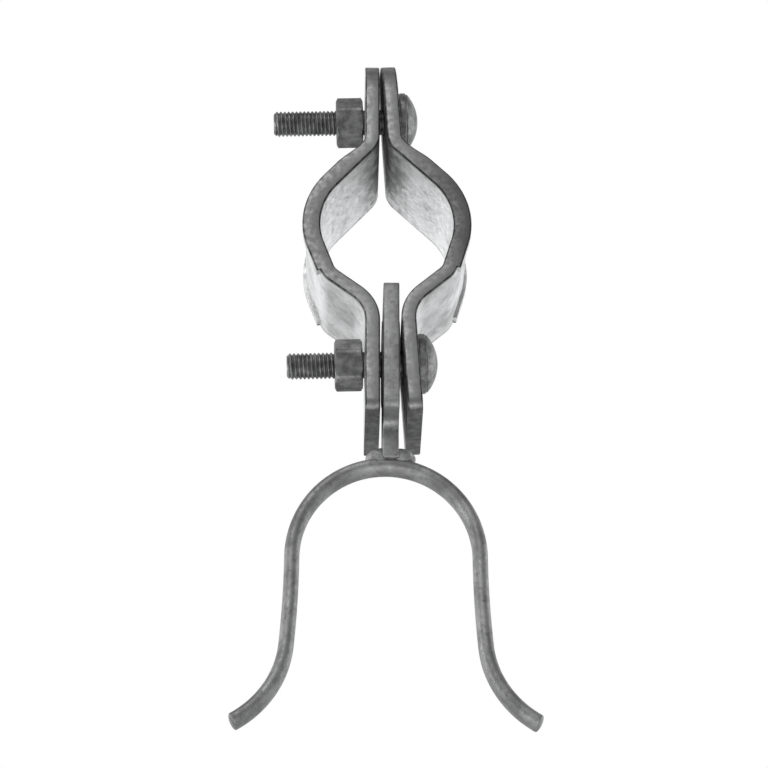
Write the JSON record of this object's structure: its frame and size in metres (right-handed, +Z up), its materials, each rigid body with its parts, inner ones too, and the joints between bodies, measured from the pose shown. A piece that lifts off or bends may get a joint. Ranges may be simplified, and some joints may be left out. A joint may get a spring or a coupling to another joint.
{
  "type": "gate fork latch",
  "caption": "Fork latch for a tubular gate: two bolted half collars grip the gate pipe and a U fork swings on the lower bolt to drop over the post.",
  "frame": {"origin": "centre of the collar's bore, which is the centre of the gate pipe", "axes": "+Y along the gate pipe, +Z up with the fork hanging down, +X from the nuts towards the bolt heads"},
  "size_m": [0.0906, 0.035, 0.2235],
  "materials": {
    "galvanised_plate": "mottled hot-dip galvanised, satin",
    "zinc_fasteners": "dull dark zinc",
    "fork_steel": "dull grey galvanised bar",
    "weld_metal": "rough weld under zinc"
  },
  "bodies": {
    "collar_right": {"collar_half_right": "galvanised_plate", "clamp_bolt": "zinc_fasteners", "pivot_bolt": "zinc_fasteners"},
    "collar_left": {"collar_half_left": "galvanised_plate"},
    "clamp_nut": {"clamp_nut": "zinc_fasteners"},
    "pivot_nut": {"pivot_nut": "zinc_fasteners"},
    "fork": {"fork_tongue": "fork_steel", "fork_yoke": "fork_steel", "tongue_weld_left": "weld_metal", "tongue_weld_right": "weld_metal"}
  },
  "joints": [
    {"name": "fork_swing", "type": "hinge", "parent": "collar_right", "child": "fork", "pos_m": [0.00133, 0, -0.03998], "axis": [0.9995, 0, 0.0332], "range_deg": [0, 90]},
    {"name": "collar_spread", "type": "slide", "parent": "collar_right", "child": "collar_left", "axis": [-0.9995, 0, -0.0332], "range_m": [0, 0.012]},
    {"name": "clamp_nut_turn", "type": "hinge", "parent": "collar_left", "child": "clamp_nut", "pos_m": [-0.01162, 0, 0.04764], "axis": [-0.9995, 0, -0.0332], "range_deg": [0, 3460]},
    {"name": "pivot_nut_turn", "type": "hinge", "parent": "collar_left", "child": "pivot_nut", "pos_m": [-0.01141, 0, -0.0404], "axis": [-0.9995, 0, -0.0332], "range_deg": [0, 3460]}
  ],
  "couplings": [
    {"joint": "clamp_nut_turn", "follows": "collar_spread", "rad_per_m": 5026.6},
    {"joint": "pivot_nut_turn", "follows": "collar_spread", "rad_per_m": 5026.6}
  ]
}
